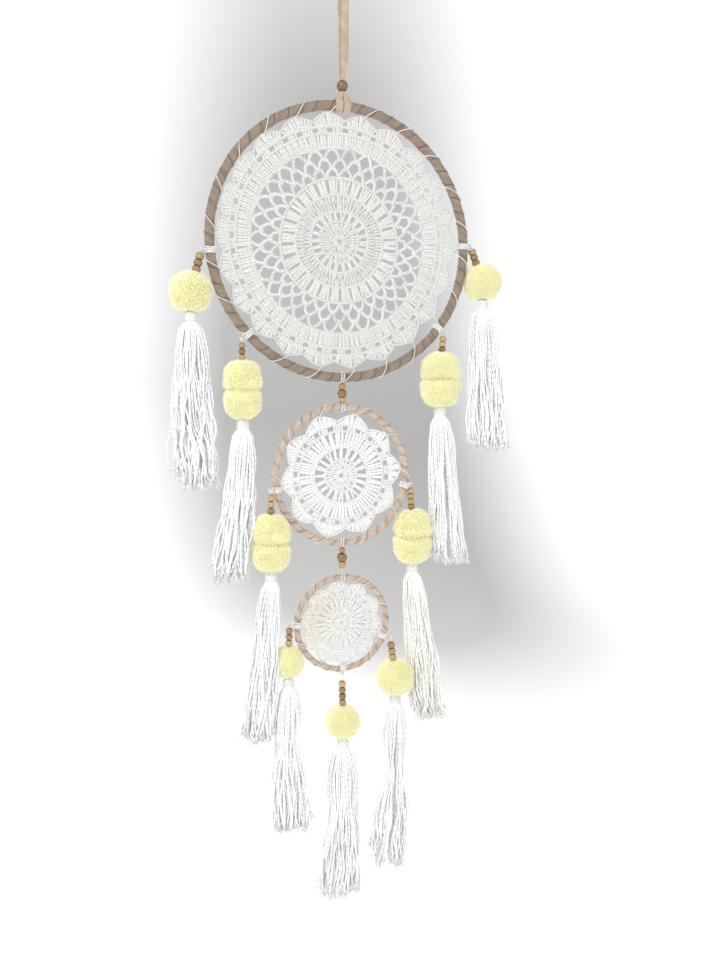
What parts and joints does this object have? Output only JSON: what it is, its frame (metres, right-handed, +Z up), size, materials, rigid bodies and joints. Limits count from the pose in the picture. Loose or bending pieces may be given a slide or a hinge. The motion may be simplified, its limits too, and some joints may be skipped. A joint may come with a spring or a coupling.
{
  "type": "dream catcher",
  "caption": "Hanging dream catcher: ribbon-wrapped hoops with crocheted doilies in a chain on a suede lace, with beads, pompoms and yarn tassels.",
  "frame": {"origin": "hanging point: centre of the bend of the lace, where it goes over a nail", "axes": "+Z up, +X to the right seen from the front, -Y towards the front; the hoops lie in the XZ plane"},
  "size_m": [0.3296, 0.0404, 0.8922],
  "materials": {
    "lace": "matte suede lace, light brown",
    "bead_wood": "satin turned wood, golden brown with dark rings",
    "hoop_core": "bare bent wood under the ribbon",
    "large_ribbon": "matte beige-brown ribbon, wound on a slant",
    "pale_ribbon": "matte pinkish tan ribbon, wound on a slant",
    "crochet_cotton": "white crochet cotton",
    "white_thread": "white tying thread",
    "pompom_yarn": "fluffy pale lemon yarn",
    "tassel_yarn": "white twisted yarn with frayed ends"
  },
  "bodies": {
    "hanger": {"hanging_lace": "lace", "top_bead": "bead_wood"},
    "large_hoop": {"lace_hitch": "lace", "large_hoop_core": "hoop_core", "large_hoop_wrap": "large_ribbon", "large_doily": "crochet_cotton", "large_doily_lacing": "white_thread", "large_hoop_ties": "white_thread"},
    "upper_link": {"upper_link_cord": "white_thread", "upper_link_beads": "bead_wood"},
    "middle_hoop": {"middle_hoop_core": "hoop_core", "middle_hoop_wrap": "pale_ribbon", "middle_doily": "crochet_cotton", "middle_doily_lacing": "white_thread", "middle_hoop_ties": "white_thread"},
    "lower_link": {"lower_link_cord": "white_thread", "lower_link_beads": "bead_wood"},
    "small_hoop": {"small_hoop_core": "hoop_core", "small_hoop_wrap": "pale_ribbon", "small_doily": "crochet_cotton", "small_doily_lacing": "white_thread", "small_hoop_ties": "white_thread"},
    "outer_left_string": {"outer_left_cord": "white_thread", "outer_left_beads": "bead_wood", "outer_left_pompom": "pompom_yarn", "outer_left_tassel": "tassel_yarn"},
    "lower_left_string": {"lower_left_cord": "white_thread", "lower_left_beads": "bead_wood", "lower_left_pompom": "pompom_yarn", "lower_left_tassel": "tassel_yarn"},
    "middle_left_string": {"middle_left_cord": "white_thread", "middle_left_beads": "bead_wood", "middle_left_pompom": "pompom_yarn", "middle_left_tassel": "tassel_yarn"},
    "small_left_string": {"small_left_cord": "white_thread", "small_left_beads": "bead_wood", "small_left_pompom": "pompom_yarn", "small_left_tassel": "tassel_yarn"},
    "bottom_string": {"bottom_cord": "white_thread", "bottom_beads": "bead_wood", "bottom_pompom": "pompom_yarn", "bottom_tassel": "tassel_yarn"},
    "small_right_string": {"small_right_cord": "white_thread", "small_right_beads": "bead_wood", "small_right_pompom": "pompom_yarn", "small_right_tassel": "tassel_yarn"},
    "middle_right_string": {"middle_right_cord": "white_thread", "middle_right_beads": "bead_wood", "middle_right_pompom": "pompom_yarn", "middle_right_tassel": "tassel_yarn"},
    "lower_right_string": {"lower_right_cord": "white_thread", "lower_right_beads": "bead_wood", "lower_right_pompom": "pompom_yarn", "lower_right_tassel": "tassel_yarn"},
    "outer_right_string": {"outer_right_cord": "white_thread", "outer_right_beads": "bead_wood", "outer_right_pompom": "pompom_yarn", "outer_right_tassel": "tassel_yarn"}
  },
  "joints": [
    {"name": "large_hoop_turn", "type": "hinge", "parent": "hanger", "child": "large_hoop", "pos_m": [0, 0, -0.262], "axis": [0, 0, 1], "range_deg": [-45, 45]},
    {"name": "upper_link_swing", "type": "hinge", "parent": "large_hoop", "child": "upper_link", "pos_m": [0, 0, -0.3825], "axis": [1, 0, 0], "range_deg": [-20, 20]},
    {"name": "middle_hoop_turn", "type": "hinge", "parent": "upper_link", "child": "middle_hoop", "pos_m": [0, 0, -0.473], "axis": [0, 0, 1], "range_deg": [-25, 25]},
    {"name": "lower_link_swing", "type": "hinge", "parent": "middle_hoop", "child": "lower_link", "pos_m": [0, 0, -0.5363], "axis": [1, 0, 0], "range_deg": [-20, 20]},
    {"name": "small_hoop_turn", "type": "hinge", "parent": "lower_link", "child": "small_hoop", "pos_m": [0, 0, -0.613], "axis": [0, 0, -1], "range_deg": [-20, 20]},
    {"name": "outer_left_swing", "type": "hinge", "parent": "large_hoop", "child": "outer_left_string", "pos_m": [-0.12759, 0, -0.27451], "axis": [1, 0, 0], "range_deg": [-25, 25]},
    {"name": "lower_left_swing", "type": "hinge", "parent": "large_hoop", "child": "lower_left_string", "pos_m": [-0.09299, 0, -0.35025], "axis": [1, 0, 0], "range_deg": [-25, 25]},
    {"name": "middle_left_swing", "type": "hinge", "parent": "middle_hoop", "child": "middle_left_string", "pos_m": [-0.06839, -0.00292, -0.48568], "axis": [1, 0, 0], "range_deg": [-25, 25]},
    {"name": "small_left_swing", "type": "hinge", "parent": "small_hoop", "child": "small_left_string", "pos_m": [-0.05046, 0.00233, -0.61124], "axis": [1, 0, 0], "range_deg": [-25, 25]},
    {"name": "bottom_swing", "type": "hinge", "parent": "small_hoop", "child": "bottom_string", "pos_m": [0, 0, -0.6632], "axis": [1, 0, 0], "range_deg": [-25, 25]},
    {"name": "small_right_swing", "type": "hinge", "parent": "small_hoop", "child": "small_right_string", "pos_m": [0.04784, -0.0026, -0.63136], "axis": [1, 0, 0], "range_deg": [-25, 25]},
    {"name": "middle_right_swing", "type": "hinge", "parent": "middle_hoop", "child": "middle_right_string", "pos_m": [0.06847, 0.00166, -0.48483], "axis": [1, 0, 0], "range_deg": [-25, 25]},
    {"name": "lower_right_swing", "type": "hinge", "parent": "large_hoop", "child": "lower_right_string", "pos_m": [0.10102, 0, -0.34093], "axis": [1, 0, 0], "range_deg": [-25, 25]},
    {"name": "outer_right_swing", "type": "hinge", "parent": "large_hoop", "child": "outer_right_string", "pos_m": [0.12816, 0, -0.25864], "axis": [1, 0, 0], "range_deg": [-25, 25]}
  ]
}
